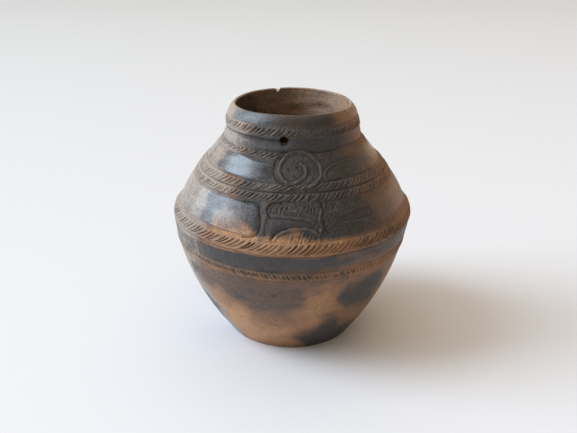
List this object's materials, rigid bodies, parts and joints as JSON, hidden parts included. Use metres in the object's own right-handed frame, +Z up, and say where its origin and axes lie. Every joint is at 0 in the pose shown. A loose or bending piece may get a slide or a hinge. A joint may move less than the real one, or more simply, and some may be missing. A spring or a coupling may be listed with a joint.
{
  "type": "earthenware pot",
  "caption": "Round-bodied hand-built clay pot with a short rolled-in neck, bands of incised cordons on the shoulder and belly, and a small hole through the neck.",
  "frame": {"origin": "middle of the flat foot, on the surface that the pot stands on", "axes": "+Z up through the middle of the mouth, -Y towards the front of the pot where the neck hole and the spiral are, +X to the right seen from the front"},
  "size_m": [0.1512, 0.1512, 0.1506],
  "materials": {
    "burnished_clay": "low-fired earthenware, smoked grey-black to brown and burnished with a stone to a soft satin shine, with orange-brown fire clouds",
    "tooled_clay": "unburnished tan-brown earthenware cordons, matt, with tooled oblique strokes and darker, dusty grooves"
  },
  "bodies": {
    "root": {"base_disc": "burnished_clay", "lower_wall": "burnished_clay", "belly_coil": "burnished_clay", "shoulder_wall": "burnished_clay", "upper_shoulder": "burnished_clay", "neck_collar": "burnished_clay", "rim_coil": "burnished_clay", "lower_cordon": "tooled_clay", "belly_cordon": "tooled_clay", "shoulder_cordon_low": "tooled_clay", "shoulder_cordon_high": "tooled_clay", "collar_foot_cordon": "tooled_clay", "neck_cordon": "tooled_clay"}
  },
  "joints": []
}
